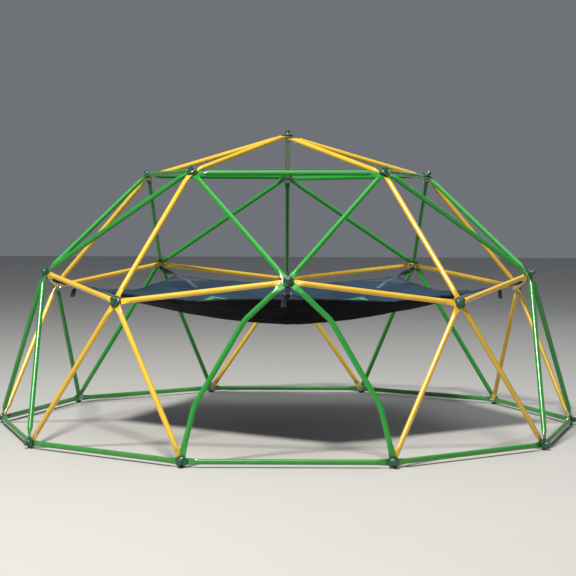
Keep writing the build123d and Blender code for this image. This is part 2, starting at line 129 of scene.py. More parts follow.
class Finish:
    """A material with one Principled shader, and short calls for the nodes that feed it."""

    def __init__(self, name, colour, roughness, metallic=0.0):
        self.material = bpy.data.materials.new(name)
        self.material.use_nodes = True
        self.tree = self.material.node_tree
        self.shader = self.tree.nodes["Principled BSDF"]
        self.set("Base Color", (*colour, 1.0))
        self.set("Roughness", roughness)
        self.set("Metallic", metallic)
        self.place = self.node("ShaderNodeTexCoord").outputs["Object"]
        self.bumps = []

    def set(self, socket, value):
        self.shader.inputs[socket].default_value = value

    def node(self, kind, **settings):
        made = self.tree.nodes.new(kind)
        for name, value in settings.items():
            setattr(made, name, value)
        return made

    def link(self, source, target):
        self.tree.links.new(source, target)

    def noise(self, scale, detail=3.0, roughness=0.55, place=None):
        made = self.node("ShaderNodeTexNoise")
        made.inputs["Scale"].default_value = scale
        made.inputs["Detail"].default_value = detail
        made.inputs["Roughness"].default_value = roughness
        self.link(place or self.place, made.inputs["Vector"])
        return made.outputs["Fac"]

    def spots(self, scale, place=None):
        made = self.node("ShaderNodeTexVoronoi")
        made.inputs["Scale"].default_value = scale
        self.link(place or self.place, made.inputs["Vector"])
        return made.outputs["Distance"]

    def remap(self, source, low, high, to_low=0.0, to_high=1.0):
        made = self.node("ShaderNodeMapRange")
        for name, value in (("From Min", low), ("From Max", high), ("To Min", to_low), ("To Max", to_high)):
            made.inputs[name].default_value = value
        self.link(source, made.inputs["Value"])
        return made.outputs["Result"]

    def math(self, operation, first, second):
        made = self.node("ShaderNodeMath", operation=operation)
        for spot, value in zip(made.inputs, (first, second)):
            if isinstance(value, (int, float)):
                spot.default_value = value
            else:
                self.link(value, spot)
        return made.outputs["Value"]

    def scaled(self, vector, scale):
        made = self.node("ShaderNodeMapping")
        made.inputs["Scale"].default_value = scale
        self.link(vector, made.inputs["Vector"])
        return made.outputs["Vector"]

    def tint(self, share, colour, base=None):
        """Mix the base colour towards another where share is high."""
        made = self.node("ShaderNodeMix", data_type="RGBA")
        made.inputs["A"].default_value = tuple(self.shader.inputs["Base Color"].default_value)
        if base is not None:
            self.link(base, made.inputs["A"])
        made.inputs["B"].default_value = (*colour, 1.0)
        self.link(share, made.inputs["Factor"])
        self.link(made.outputs["Result"], self.shader.inputs["Base Color"])
        return made.outputs["Result"]

    def roughen(self, source, low, high):
        """Roughness that runs from low to high with a 0 to 1 source."""
        self.link(self.remap(source, 0.0, 1.0, low, high), self.shader.inputs["Roughness"])

    def bump(self, height, distance, strength=1.0):
        made = self.node("ShaderNodeBump")
        made.inputs["Distance"].default_value = distance
        made.inputs["Strength"].default_value = strength
        self.link(height, made.inputs["Height"])
        if self.bumps:
            self.link(self.bumps[-1].outputs["Normal"], made.inputs["Normal"])
        self.bumps.append(made)
        self.link(made.outputs["Normal"], self.shader.inputs["Normal"])


def lighter(colour, share):
    return tuple(c + (1.0 - c) * share for c in colour)


def darker(colour, share):
    return tuple(c * (1.0 - share) for c in colour)


# ------------------------------------------------------------------ finishes

def powder_coat(name, colour):
    """Glossy powder coat: orange peel, soft cloudiness, fine chips and dust that has settled low down."""
    f = Finish(name, colour, 0.3)
    f.set("Coat Weight", 0.35)
    f.set("Coat Roughness", 0.12)
    f.set("Specular IOR Level", 0.55)
    cloud = f.noise(5.0, 4.0)
    base = f.tint(f.remap(cloud, 0.40, 0.75, 0.0, 0.45), darker(colour, 0.28))
    chips = f.remap(f.spots(85.0), 0.055, 0.035)
    rare = f.remap(f.noise(11.0, 2.0), 0.60, 0.66)
    base = f.tint(f.math("MULTIPLY", chips, rare), (0.16, 0.15, 0.14), base)
    height = f.node("ShaderNodeSeparateXYZ")
    f.link(f.place, height.inputs["Vector"])
    low_down = f.remap(height.outputs["Z"], 0.30, 0.0)
    dust = f.math("MULTIPLY", low_down, f.remap(f.noise(38.0, 5.0), 0.42, 0.72, 0.0, 0.55))
    f.tint(dust, (0.20, 0.17, 0.11), base)
    f.roughen(f.noise(24.0, 4.0), 0.22, 0.40)
    f.bump(f.noise(1100.0, 1.0), 0.00012, 0.5)
    f.bump(f.noise(160.0, 2.0), 0.00025, 0.35)
    return f.material


def cap_plastic():
    """Injection-moulded green plastic with faint flow marks and scuffed rims."""
    colour = (0.006, 0.075, 0.036)
    f = Finish("cap_plastic", colour, 0.26)
    f.set("Specular IOR Level", 0.6)
    f.set("Coat Weight", 0.25)
    f.set("Coat Roughness", 0.2)
    base = f.tint(f.remap(f.noise(60.0, 3.0), 0.4, 0.75, 0.0, 0.5), lighter(colour, 0.06))
    scratches = f.noise(1.0, 3.0, place=f.scaled(f.place, (260.0, 40.0, 260.0)))
    f.tint(f.remap(scratches, 0.66, 0.74, 0.0, 0.30), (0.10, 0.20, 0.15), base)
    f.roughen(f.noise(90.0, 3.0), 0.20, 0.42)
    f.bump(f.noise(700.0, 2.0), 0.00008, 0.6)
    return f.material


def seat_plastic():
    f = Finish("seat_plastic", (0.012, 0.014, 0.013), 0.55)
    f.tint(f.remap(f.noise(80.0, 3.0), 0.45, 0.75, 0.0, 0.6), (0.03, 0.034, 0.032))
    f.roughen(f.noise(120.0, 3.0), 0.42, 0.68)
    f.bump(f.noise(900.0, 2.0), 0.0001, 0.6)
    return f.material


def plated_metal(name, colour):
    """Zinc plate: bright, slightly mottled, with fine brushing and a few dull stains."""
    f = Finish(name, colour, 0.32, 1.0)
    base = f.tint(f.remap(f.noise(140.0, 4.0), 0.42, 0.72, 0.0, 0.5), darker(colour, 0.35))
    f.tint(f.remap(f.noise(45.0, 3.0), 0.58, 0.75, 0.0, 0.6), (0.42, 0.36, 0.26), base)
    f.roughen(f.noise(1.0, 3.0, place=f.scaled(f.place, (1800.0, 120.0, 900.0))), 0.22, 0.46)
    f.bump(f.noise(1.0, 2.0, place=f.scaled(f.place, (2600.0, 200.0, 1500.0))), 0.00006, 0.6)
    return f.material


def weave_height(f):
    """Plain weave from the UV map, which is in metres of cloth: over and under in both directions."""
    uv = f.node("ShaderNodeUVMap", uv_map="cloth").outputs["UV"]
    parts = f.node("ShaderNodeSeparateXYZ")
    f.link(uv, parts.inputs["Vector"])
    turns = math.pi * THREADS_PER_METRE
    across = f.math("SINE", f.math("MULTIPLY", parts.outputs["X"], turns), 0.0)
    along = f.math("SINE", f.math("MULTIPLY", parts.outputs["Y"], turns), 0.0)
    return f.math("MULTIPLY", across, along), uv


def woven_cloth(name, colour, sheen, gloss=0.3, fade=0.03):
    """Woven polyester: thread relief with painted shade in the weave's hollows, slubs, creases and faded patches.
    """
    f = Finish(name, colour, 0.72)
    f.set("Sheen Weight", sheen)
    f.set("Sheen Roughness", 0.4)
    f.set("Sheen Tint", (0.45, 0.66, 0.95, 1.0))
    f.set("Specular IOR Level", gloss)
    weave, uv = weave_height(f)
    base = f.tint(f.remap(f.noise(3.2, 4.0), 0.42, 0.75, 0.0, 0.42), lighter(colour, fade))
    # painted shade: the cloth is made darker where the weave dips, in the hollows between threads
    base = f.tint(f.remap(weave, 0.1, -0.8, 0.0, 0.35), darker(colour, 0.5), base)
    slubs = f.noise(1.0, 2.0, place=f.scaled(uv, (30.0, 900.0, 1.0)))
    f.tint(f.remap(slubs, 0.62, 0.78, 0.0, 0.28), lighter(colour, 2 * fade), base)
    f.roughen(f.noise(14.0, 3.0), 0.55, 0.82)
    f.bump(f.noise(9.0, 5.0, 0.6), 0.004, 0.30)
    f.bump(f.noise(45.0, 4.0, 0.6), 0.0012, 0.35)
    f.bump(weave, 0.00018, 0.8)
    return f.material


def ribbed_webbing(name, colour, ribs=9):
    """Flat webbing: lengthwise ribs and cross threads, with painted shade in their hollows, from a UV map that is
    in metres along and across.
    """
    f = Finish(name, colour, 0.6)
    f.set("Sheen Weight", 0.15)
    f.set("Sheen Roughness", 0.35)
    uv = f.node("ShaderNodeUVMap", uv_map="cloth").outputs["UV"]
    parts = f.node("ShaderNodeSeparateXYZ")
    f.link(uv, parts.inputs["Vector"])
    rib = f.math("SINE", f.math("MULTIPLY", parts.outputs["X"], ribs * 2 * math.pi / WEBBING_WIDTH), 0.0)
    cross = f.math("SINE", f.math("MULTIPLY", parts.outputs["Y"], 2 * math.pi / 0.0016), 0.0)
    relief = f.math("ADD", rib, f.math("MULTIPLY", cross, 0.6))
    # painted shade: darker in the hollows between ribs and cross threads, where the relief dips
    base = f.tint(f.remap(relief, 0.6, -1.2, 0.0, 0.7), darker(colour, 0.6))
    f.tint(f.remap(f.noise(70.0, 4.0), 0.45, 0.75, 0.0, 0.45), lighter(colour, 0.015), base)
    f.roughen(f.noise(110.0, 3.0), 0.48, 0.72)
    f.bump(relief, 0.00025, 0.9)
    return f.material


def stitch_thread(name, colour):
    f = Finish(name, colour, 0.5)
    f.set("Sheen Weight", 0.3)
    twist = f.noise(1.0, 2.0, place=f.scaled(f.place, (900.0, 900.0, 2500.0)))
    f.tint(f.remap(twist, 0.35, 0.7, 0.0, 0.6), darker(colour, 0.45))
    f.bump(twist, 0.0001, 0.8)
    return f.material


YELLOW = (0.80, 0.50, 0.035)
GREEN = (0.012, 0.29, 0.026)
NAVY = (0.014, 0.042, 0.080)

FINISHES = {
    "yellow_powder_coat": powder_coat("yellow_powder_coat", YELLOW),
    "green_powder_coat": powder_coat("green_powder_coat", GREEN),
    "cap_plastic": cap_plastic(),
    "seat_plastic": seat_plastic(),
    "zinc_plate": plated_metal("zinc_plate", (0.66, 0.67, 0.68)),
    "buckle_metal": plated_metal("buckle_metal", (0.58, 0.59, 0.61)),
    "hammock_fabric": woven_cloth("hammock_fabric", NAVY, 0.10),
    "hem_fabric": woven_cloth("hem_fabric", darker(NAVY, 0.15), 0.08),
    "patch_fabric": woven_cloth("patch_fabric", lighter(NAVY, 0.03), 0.12),
    "green_tape": ribbed_webbing("green_tape", (0.075, 0.42, 0.20), ribs=14),
    "black_webbing": ribbed_webbing("black_webbing", (0.008, 0.008, 0.010)),
}
# painted shade: a near-black copy of the hammock fabric, with less gloss and no sheen, for the sheet's underside,
# darkened for the shade that falls there
painted_shade_underside_cloth = woven_cloth("hammock_underside_painted_shade", (0.0015, 0.0022, 0.0032), 0.0, gloss=0.08, fade=0.004)
strip_webbing = ribbed_webbing("strip_webbing", (0.11, 0.155, 0.205), ribs=12)
navy_thread = stitch_thread("navy_thread", (0.05, 0.08, 0.12))
grey_thread = stitch_thread("grey_thread", (0.20, 0.22, 0.24))
green_thread = stitch_thread("green_thread", (0.10, 0.45, 0.22))


def paint_cad_nodes():
    """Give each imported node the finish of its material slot."""
    for row in frame["record"]["subparts"]:
        mesh = frame["nodes"][row["node"]].data
        mesh.materials.clear()
        mesh.materials.append(FINISHES[row["material_slot"]])
        for polygon in mesh.polygons:
            polygon.use_smooth = True
        mesh.set_sharp_from_angle(angle=math.radians(35))


# ------------------------------------------------------------------ mesh helpers

def new_piece(name, points, faces, uvs=None, materials=(), smooth=True):
    """Mesh object from points and faces; uvs holds one pair per point, in metres of cloth."""
    mesh = bpy.data.meshes.new(name)
    mesh.from_pydata([tuple(p) for p in points], [], [tuple(f) for f in faces])
    if uvs is not None:
        layer = mesh.uv_layers.new(name="cloth")
        corners = np.empty(len(mesh.loops), np.int32)
        mesh.loops.foreach_get("vertex_index", corners)
        layer.data.foreach_set("uv", np.asarray(uvs, np.float32)[corners].ravel())
    for material in materials:
        mesh.materials.append(material)
    if smooth:
        mesh.polygons.foreach_set("use_smooth", [True] * len(mesh.polygons))
    mesh.validate()
    piece = bpy.data.objects.new(name, mesh)
    bpy.context.scene.collection.objects.link(piece)
    return piece


def grid_faces(rows, columns, wrap_rows=False, wrap_columns=False):
    """Quads between neighbouring rows and columns of a grid of points."""
    faces = []
    for r in range(rows if wrap_rows else rows - 1):
        for c in range(columns if wrap_columns else columns - 1):
            r2, c2 = (r + 1) % rows, (c + 1) % columns
            faces.append((r * columns + c, r2 * columns + c, r2 * columns + c2, r * columns + c2))
    return faces


def thicken(piece, thickness):
    """Give a piece made as a single surface its thickness, half to each side."""
    shell = piece.modifiers.new("thickness", "SOLIDIFY")
    shell.thickness = thickness
    shell.offset = 0.0
    return shell


def unit(vectors):
    return vectors / np.maximum(np.linalg.norm(vectors, axis=-1, keepdims=True), 1e-12)


def turned(points, sector):
    """Points made in the door's sector, turned about the dome's axis into another sector."""
    angle = SECTOR_TURN * sector
    c, s = math.cos(angle), math.sin(angle)
    points = np.asarray(points, float)
    x, y, z = points.T
    return np.stack([c * x - s * y, s * x + c * y, z], 1)


def at_azimuth(radius, sector, height=0.0):
    """A point at a radius and height on a sector's middle plane, which holds a hammock corner."""
    angle = SECTOR_TURN * sector
    return np.array([radius * math.sin(angle), -radius * math.cos(angle), height])


def sector_part(node):
    """Box of what a CAD node has in the door's sector, as its lowest and highest corners."""
    points = np.array([v.co for v in frame["nodes"][node].data.vertices], float)
    bearing = np.arctan2(points[:, 0], -points[:, 1])
    here = points[np.abs(bearing) < SECTOR_TURN / 2]
    return here.min(0), here.max(0)


# A strap's plane is (out from the dome's axis, up), in the door's sector
HUB = np.array([BRACE_HUB_REACH * DOME_RADIUS, BASE_HUB_HEIGHT + BRACE_HUB_RISE * DOME_RADIUS])
HUB_OUTWARD = unit(HUB - [0.0, BASE_HUB_HEIGHT])
HUB_DOWN = np.array([HUB_OUTWARD[1], -HUB_OUTWARD[0]])
STRAP_LAYER = HUB - HUB_OUTWARD * STRAP_LAYER_DEPTH
HUB_TURN = STRAP_LAYER + HUB_DOWN * STRAP_DROP
buckle_centre = sum(sector_part("strap_buckles")) / 2
BUCKLE = np.array([-buckle_centre[1], buckle_centre[2]])
STRAP_ALONG = unit(HUB_TURN - BUCKLE)
STRAP_UP = np.array([-STRAP_ALONG[1], STRAP_ALONG[0]])
BUCKLE_FOOT = BUCKLE - STRAP_ALONG * BUCKLE_BAR_SPACING
OUTER_BAR = BUCKLE + STRAP_ALONG * BUCKLE_BAR_SPACING


# ------------------------------------------------------------------ the hammock's sheet

RINGS = 48
FINE_RINGS = 2 * RINGS
TIP_SHARE = 0.036


def dish_height(radius):
    """Height of the slack sheet: its sag, and a slight bulge towards the pulled corners."""
    reach = radius / CORNER_RADIUS
    outer = np.clip((reach - RIM_BULGE_START) / (1 - RIM_BULGE_START), 0, 1)
    return SHEET_LOW + SHEET_RISE * (reach ** SAG_POWER + RIM_BULGE * np.sin(np.pi * outer) ** 2)


def outline(turns, tip_half_width, corner_radius, edge_share):
    """Points of a pentagon with blunt tips; turns runs from 0 to 5, a whole number at each tip's middle."""
    sector = np.floor(turns).astype(int)
    share = turns - sector
    side = np.where(share <= 0.5, sector, sector + 1)
    share = np.where(share <= 0.5, share, 1 - share)
    mirror = np.where(side == sector, 1.0, -1.0)
    tip_end = np.array([tip_half_width, -corner_radius])
    half = SECTOR_TURN / 2
    middle = np.array([math.sin(half), -math.cos(half)]) * corner_radius * edge_share
    on_tip = np.minimum(share / TIP_SHARE, 1.0)[:, None] * np.array([tip_half_width, 0.0])
    along = np.clip((share - TIP_SHARE) / (0.5 - TIP_SHARE), 0.0, 1.0)[:, None]
    points = np.array([0.0, -corner_radius]) + on_tip + along * (middle - tip_end)
    points = points * np.stack([mirror, np.ones_like(mirror)], 1)
    angle = SECTOR_TURN * side
    c, s = np.cos(angle), np.sin(angle)
    return np.stack([c * points[:, 0] - s * points[:, 1], s * points[:, 0] + c * points[:, 1]], 1)


def cut_outline(turns):
    """Edge of the flat cut: straight sides, and tips that are gathered when the sheet is hung."""
    return outline(turns, CUT_TIP_HALF_WIDTH, CORNER_RADIUS * CUT_SCALE, math.cos(SECTOR_TURN / 2))


def hung_outline(turns):
    return outline(turns, SHEET_TIP_HALF_WIDTH, CORNER_RADIUS, EDGE_MIDDLE_SHARE)


def lattice(rings):
    """Ring number and turns of every lattice point, and the triangles: ring i has 5 i points."""
    ring = np.concatenate([[0]] + [np.full(SECTORS * i, i) for i in range(1, rings + 1)])
    turns = np.concatenate([[0.0]] + [np.arange(SECTORS * i) / i for i in range(1, rings + 1)])
    first = [0] + [1 + SECTORS * i * (i - 1) // 2 for i in range(1, rings + 2)]
    triangles = []
    for i in range(1, rings + 1):
        outer, inner = SECTORS * i, max(SECTORS * (i - 1), 1)
        for s in range(SECTORS):
            for j in range(i):
                a = first[i] + s * i + j
                b = first[i] + (s * i + j + 1) % outer
                c = first[i - 1] + (s * (i - 1) + j) % inner
                triangles.append((a, b, c))
                if j < i - 1:
                    d = first[i - 1] + (s * (i - 1) + j + 1) % inner
                    triangles.append((b, d, c))
    return ring, turns, triangles, first


def smoothstep(low, high, x):
    t = np.clip((x - low) / (high - low), 0.0, 1.0)
    return t * t * (3 - 2 * t)


def sheet_start():
    """The flat cut and the shape that the simulation starts from, both on the lattice."""
    ring, turns, triangles, first = lattice(RINGS)
    share = ring / RINGS
    cut = np.zeros((len(ring), 3))
    cut[:, :2] = cut_outline(turns) * share[:, None]
    near_edge = smoothstep(0.72, 1.0, share)[:, None]
    plan = (1 - near_edge) * cut_outline(turns) / CUT_SCALE + near_edge * hung_outline(turns)
    plan = plan * share[:, None]
    height = dish_height(np.linalg.norm(plan, axis=1))
    rough = np.random.default_rng(11).normal(size=len(ring)) * 0.0006
    pleats = 0.0022 * np.cos(2 * math.pi * 3 * np.minimum(turns % 1, 1 - turns % 1) / TIP_SHARE)
    at_tips = (np.minimum(turns % 1, 1 - turns % 1) < TIP_SHARE) * smoothstep(0.86, 0.985, share)
    start = np.column_stack([plan, height + rough + pleats * at_tips])
    return cut, start, triangles, share, turns


def hang_sheet():
    """Cloth simulation of the cut sheet, hung from its tips; returns the settled lattice points."""
    cut, start, triangles, share, turns = sheet_start()
    piece = new_piece("sheet_in_simulation", start, triangles)
    piece.shape_key_add(name="Basis")
    rest = piece.shape_key_add(name="cut")
    rest.data.foreach_set("co", cut.ravel())
    tips = piece.vertex_groups.new(name="tips")
    to_tip = np.minimum(turns % 1, 1 - turns % 1)
    held = np.flatnonzero((share > 1 - 1.5 / RINGS) & (to_tip <= TIP_SHARE))
    tips.add(held.tolist(), 1.0, "REPLACE")
    cloth = piece.modifiers.new("Cloth", "CLOTH")
    cloth.settings.rest_shape_key = rest
    cloth.settings.vertex_group_mass = "tips"
    cloth.settings.quality = 6
    cloth.settings.mass = 0.0004
    cloth.settings.tension_stiffness = 25.0
    cloth.settings.compression_stiffness = 12.0
    cloth.settings.shear_stiffness = 6.0
    cloth.settings.bending_stiffness = 0.35
    cloth.settings.tension_damping = 8.0
    cloth.settings.compression_damping = 8.0
    cloth.settings.air_damping = 3.0
    cloth.collision_settings.use_collision = False
    frames = 36
    scene = bpy.context.scene
    scene.frame_start = 1
    scene.frame_end = frames
    cloth.point_cache.frame_start = 1
    cloth.point_cache.frame_end = frames
    for number in range(1, frames + 1):
        scene.frame_set(number)
    settled = piece.evaluated_get(bpy.context.evaluated_depsgraph_get()).to_mesh()
    points = np.empty(len(settled.vertices) * 3)
    settled.vertices.foreach_get("co", points)
    bpy.data.objects.remove(piece)
    scene.frame_set(1)
    moved = points.reshape(-1, 3) - start
    far = np.linalg.norm(moved, axis=1, keepdims=True)
    return start + moved * np.minimum(1.0, 0.022 / np.maximum(far, 1e-9))


class HungSheet:
    """Maps points of the flat cut to the hung sheet, through its lattice."""

    def __init__(self, points, rings):
        self.rings = rings
        self.points = points
        self.first = np.array([0] + [1 + SECTORS * i * (i - 1) // 2 for i in range(1, rings + 1)])

    def on_ring(self, ring, turns):
        """Points on whole-numbered rings, by a cubic through four neighbours along the ring."""
        count = np.maximum(SECTORS * ring, 1)
        spot = turns * ring
        low = np.floor(spot).astype(int)
        t = (spot - low)[:, None]
        p = [self.points[self.first[ring] + (low + k) % count] for k in (-1, 0, 1, 2)]
        return cubic(*p, t)

    def at(self, share, turns):
        spot = np.clip(share, 0.0, 1.0) * self.rings
        low = np.minimum(np.floor(spot).astype(int), self.rings - 1)
        t = (spot - low)[:, None]
        rows = [self.on_ring(np.clip(low + k, 0, self.rings), turns) for k in (-1, 0, 1, 2)]
        return cubic(*rows, t)

    def find(self, flat):
        """Share of the way to the edge, and turns, of points of the cut."""
        reach = np.linalg.norm(flat, axis=1)
        bearing = np.arctan2(flat[:, 0], -flat[:, 1]) % (2 * math.pi)
        table = np.linspace(0, SECTORS, 8001)
        edge = cut_outline(table[:-1])
        edge_bearing = np.arctan2(edge[:, 0], -edge[:, 1]) % (2 * math.pi)
        turns = np.interp(bearing, np.append(edge_bearing, 2 * math.pi), table)
        edge_distance = np.append(np.linalg.norm(edge, axis=1), CORNER_RADIUS * CUT_SCALE)
        edge_reach = np.interp(turns, table, edge_distance)
        return reach / edge_reach, turns

    def hang(self, flat, lift=0.0):
        """Points of the cut, on the hung sheet, lifted along its normal."""
        flat = np.atleast_2d(np.asarray(flat, float))
        step = 0.003
        middle = self.at(*self.find(flat))
        across = self.at(*self.find(flat + [step, 0])) - self.at(*self.find(flat - [step, 0]))
        along = self.at(*self.find(flat + [0, step])) - self.at(*self.find(flat - [0, step]))
        normal = unit(np.cross(across, along))
        return middle + normal * np.reshape(lift, (-1, 1))


def cubic(before, first, last, after, t):
    """Catmull-Rom curve from first to last."""
    return first + 0.5 * t * (last - before + t * (
        2 * before - 5 * first + 4 * last - after + t * (3 * (first - last) + after - before)))


def make_sheet():
    """The sheet itself: a fine lattice through the settled points, with the cut's own thread lines."""
    coarse = HungSheet(hang_sheet(), RINGS)
    ring, turns, triangles, first = lattice(FINE_RINGS)
    points = coarse.at(ring / FINE_RINGS, turns)
    cut = cut_outline(turns) * (ring / FINE_RINGS)[:, None]
    piece = new_piece("hammock_cloth", points, triangles, cut,
                      [FINISHES["hammock_fabric"], painted_shade_underside_cloth])
    shell = thicken(piece, SHEET_THICKNESS)
    # painted shade: the underside's faces take the darkened copy of the fabric, and the rim keeps the top's fabric
    shell.material_offset = 1
    shell.material_offset_rim = 0
    return piece, HungSheet(points, FINE_RINGS)


hammock_cloth, hung = make_sheet()


# ------------------------------------------------------------------ sewn pieces on the sheet

def tip_side(sector):
    """Sideways direction at a tip of the cut."""
    angle = SECTOR_TURN * sector
    return np.array([math.cos(angle), math.sin(angle)])


def cut_corner(sector):
    """Tip's middle on the flat cut."""
    return at_azimuth(CORNER_RADIUS * CUT_SCALE, sector)[:2]


def cut_edge(sector):
    """Ends of a straight side of the cut, between this sector's tip and the next one's."""
    turns = np.array([sector + TIP_SHARE, sector + 1 - TIP_SHARE])
    return cut_outline(turns)


def edge_frame(sector):
    """Start, direction, length and inward direction of a side of the cut."""
    start, end = cut_edge(sector)
    length = np.linalg.norm(end - start)
    along = (end - start) / length
    inward = np.array([-along[1], along[0]])
    return start, along, length, inward


def make_hem(sector):
    """Folded hem along one side: a flat tube of cloth whose outer fold wraps the sheet's edge."""
    start, along, length, inward = edge_frame(sector)
    steps = 150
    profile = [(HEM_WIDTH, 0.0009), (HEM_WIDTH - 0.0008, 0.0019), (HEM_WIDTH - 0.004, 0.0024),
               (HEM_WIDTH * 0.6, 0.0022), (HEM_WIDTH * 0.3, 0.0023), (0.0035, HEM_HALF_THICKNESS),
               (0.0006, 0.0020), (-0.0006, 0.0)]
    profile += [(depth, -lift) for depth, lift in reversed(profile[:-1])]
    flat, lifts, uvs = [], [], []
    for row in range(steps + 1):
        distance = length * row / steps
        pucker = 1 + 0.22 * math.sin(distance * 2 * math.pi / 0.019 + sector) * math.sin(distance * 71.0)
        for number, (depth, lift) in enumerate(profile):
            flat.append(start + along * distance + inward * max(depth, 0.0))
            lifts.append(lift * pucker)
            uvs.append((distance, number * 0.004))
    across = len(profile)
    points = hung.hang(flat, lifts)
    fold = [i for i, depth_lift in enumerate(profile) if depth_lift[0] < 0][0]
    for row in range(steps + 1):
        middle = points[row * across + fold]
        inner = points[row * across + fold - 2]
        other = points[row * across + fold + 2]
        points[row * across + fold] = middle + unit(middle - (inner + other) / 2) * 0.0009
    faces = grid_faces(steps + 1, across, wrap_columns=True)
    faces.append(tuple(range(across)))
    faces.append(tuple(reversed(range(steps * across, (steps + 1) * across))))
    return new_piece(f"hammock_hem_{sector}", points, faces, uvs, [FINISHES["hem_fabric"]])


def make_tape_ring():
    """Green tape sewn on the sheet's top as a smaller pentagon."""
    half = SECTOR_TURN / 2
    apothem = TAPE_REACH * CUT_SCALE * math.cos(half)
    flat, lifts, uvs = [], [], []
    across, steps = 5, 48
    for sector in range(SECTORS):
        angle = SECTOR_TURN * sector
        for row in range(steps):
            share = row / steps
            for column in range(across):
                offset = TAPE_WIDTH * (column / (across - 1) - 0.5)
                reach = (apothem + offset) / math.cos(half)
                a = np.array([0.0, -reach])
                b = np.array([math.sin(2 * half), -math.cos(2 * half)]) * reach
                p = a + (b - a) * share
                c, s = math.cos(angle), math.sin(angle)
                flat.append((c * p[0] - s * p[1], s * p[0] + c * p[1]))
                lifts.append(TAPE_LIFT)
                uvs.append((offset, (sector + share) * 2 * reach * math.sin(half)))
    points = hung.hang(flat, lifts)
    piece = new_piece("hammock_tape_ring", points, grid_faces(SECTORS * steps, across, wrap_rows=True), uvs,
                      [FINISHES["green_tape"]])
    thicken(piece, TAPE_THICKNESS)
    return piece


def corner_axis_point(sector, inward, sideways):
    """Point of the cut at a distance inward from a tip along its middle line, and sideways from that line."""
    angle = SECTOR_TURN * sector
    out = np.array([math.sin(angle), -math.cos(angle)])
    return cut_corner(sector) - out * inward + tip_side(sector) * sideways


def sleeve_row(angle, columns, radius):
    """One row of the cloth that goes round the buckle's inner bar, in the door's sector."""
    x = SHEET_TIP_HALF_WIDTH * np.linspace(-1, 1, columns)
    y = -(BUCKLE_FOOT[0] + radius * math.cos(angle))
    z = BUCKLE_FOOT[1] + radius * math.sin(angle)
    return np.column_stack([x, np.full(columns, y), np.full(columns, z)])


def make_corner_patch(sector):
    """Reinforcement of a corner: cloth on the sheet's top, round the buckle's bar and back underneath."""
    columns, steps, turns = 25, 20, 9
    spread = np.linspace(-1, 1, columns)
    rows = []
    for face in (1.0, -1.0):
        half_rows = []
        for step in range(steps + 1):
            inward = PATCH_REACH * (1 - step / steps)
            flat, lifts = [], []
            for share in spread:
                half_width = CUT_TIP_HALF_WIDTH + inward * PATCH_FLARE - 0.003
                curve = PATCH_CURVE * (1 - share * share) * (inward / PATCH_REACH)
                flat.append(corner_axis_point(sector, max(inward - curve, 0.0), share * half_width))
                lifts.append(face * PATCH_LIFT)
            half_rows.append(hung.hang(flat, lifts))
        rows += half_rows if face > 0 else half_rows[::-1]
        if face > 0:
            for turn in range(1, turns):
                angle = math.pi / 2 - math.pi * turn / turns
                rows.append(turned(sleeve_row(angle, columns, SLEEVE_DIAMETER / 2), sector))
    points = np.concatenate(rows)
    uvs = [(spread[c] * 0.2, r * 0.0075) for r in range(len(rows)) for c in range(columns)]
    piece = new_piece(f"hammock_corner_patch_{sector}", points, grid_faces(len(rows), columns), uvs,
                      [FINISHES["patch_fabric"]])
    thicken(piece, PATCH_CLOTH_THICKNESS)
    return piece


def make_corner_strip(sector):
    """Lighter tape sewn over a corner's middle, from the buckle's sleeve inwards."""
    columns, steps = 7, 34
    flat, lifts, uvs = [], [], []
    for step in range(steps + 1):
        inward = 0.001 + STRIP_LENGTH * step / steps
        for share in np.linspace(-1, 1, columns):
            flat.append(corner_axis_point(sector, inward, share * STRIP_WIDTH / 2))
            lifts.append(STRIP_LIFT_ON_PATCH if inward < PATCH_REACH else TAPE_LIFT)
            uvs.append((share * STRIP_WIDTH / 2, inward))
    points = hung.hang(flat, lifts)
    piece = new_piece(f"hammock_corner_strip_{sector}", points, grid_faces(steps + 1, columns), uvs,
                      [strip_webbing])
    thicken(piece, TAPE_THICKNESS)
    return piece


# ------------------------------------------------------------------ stitching

def stitches(name, rows, material, length=0.0046, thread=0.0007):
    """Thread dashes; each row is a list of (place, direction, normal) for its stitches."""
    points, faces = [], []
    for place, direction, normal in rows:
        side = np.cross(normal, direction)
        first = len(points)
        for end, size, lift in ((-0.5, 0.25, -0.3), (-0.28, 1.0, 0.55), (0.28, 1.0, 0.55), (0.5, 0.25, -0.3)):
            centre = place + direction * (length * end) + normal * (thread * lift)
            for c, s in ((1, 0), (0, 1), (-1, 0), (0, -1)):
                points.append(centre + (side * c + normal * s) * (thread * size / 2))
        for ring in range(3):
            for k in range(4):
                a, b = first + ring * 4 + k, first + ring * 4 + (k + 1) % 4
                faces.append((a, b, b + 4, a + 4))
        faces.append((first + 3, first + 2, first + 1, first))
        faces.append((first + 12, first + 13, first + 14, first + 15))
    return new_piece(name, points, faces, None, [material])


def seam(start, end, lift, pitch=0.0075):
    """Stitch places along a straight line of the cut, on the hung sheet; a negative lift is the underside."""
    start, end = np.asarray(start, float), np.asarray(end, float)
    count = max(int(np.linalg.norm(end - start) / pitch), 1)
    shares = (np.arange(count) + 0.5)[:, None] / count
    flat = start + (end - start) * shares
    step = (end - start) / count * 0.3
    middle = hung.hang(flat, lift)
    direction = unit(hung.hang(flat + step, lift) - hung.hang(flat - step, lift))
    normal = unit(hung.hang(flat, 0.001) - hung.hang(flat, 0.0)) * (1.0 if lift > 0 else -1.0)
    normal = unit(normal - direction * (normal * direction).sum(1, keepdims=True))
    return list(zip(middle, direction, normal))


def hem_stitches():
    rows = []
    for sector in range(SECTORS):
        start, along, length, inward = edge_frame(sector)
        for depth in (0.005, HEM_WIDTH - 0.004):
            for lift in (0.0026, -0.0026):
                rows += seam(start + inward * depth, start + inward * depth + along * length, lift)
    return stitches("hem_stitches", rows, navy_thread)


